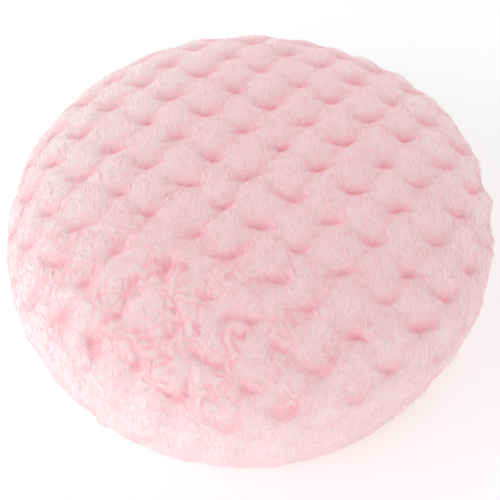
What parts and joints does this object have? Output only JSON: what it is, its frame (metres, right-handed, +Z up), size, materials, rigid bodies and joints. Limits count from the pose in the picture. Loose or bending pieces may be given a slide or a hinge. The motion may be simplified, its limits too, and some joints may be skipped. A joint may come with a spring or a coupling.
{
  "type": "powder puff",
  "caption": "Round plush powder puff: embossed pile dome over a foam pad, satin back and a ribbon strap for the fingers.",
  "frame": {"origin": "centre of the ring of pile that the puff rests on, in the plane of the surface below it", "axes": "+Z up through the crown of the pile, X along the ribbon strap, Y across it; the picture looks along +Y from above"},
  "size_m": [0.09, 0.09, 0.0308],
  "materials": {
    "plush": "long soft polyester pile, embossed, pale pink",
    "foam": "open-cell upholstery foam, off-white",
    "board": "plain grey-white card",
    "satin": "woven satin, soft sheen, pink",
    "ribbon": "double-faced satin ribbon, pink",
    "thread": "spun polyester sewing thread, pink"
  },
  "bodies": {
    "root": {"plush_cover": "plush", "foam_pad": "foam", "backing_board": "board", "satin_back": "satin", "ribbon_strap": "ribbon", "seam_thread": "thread", "strap_tack_left": "thread", "strap_tack_right": "thread"}
  },
  "joints": []
}
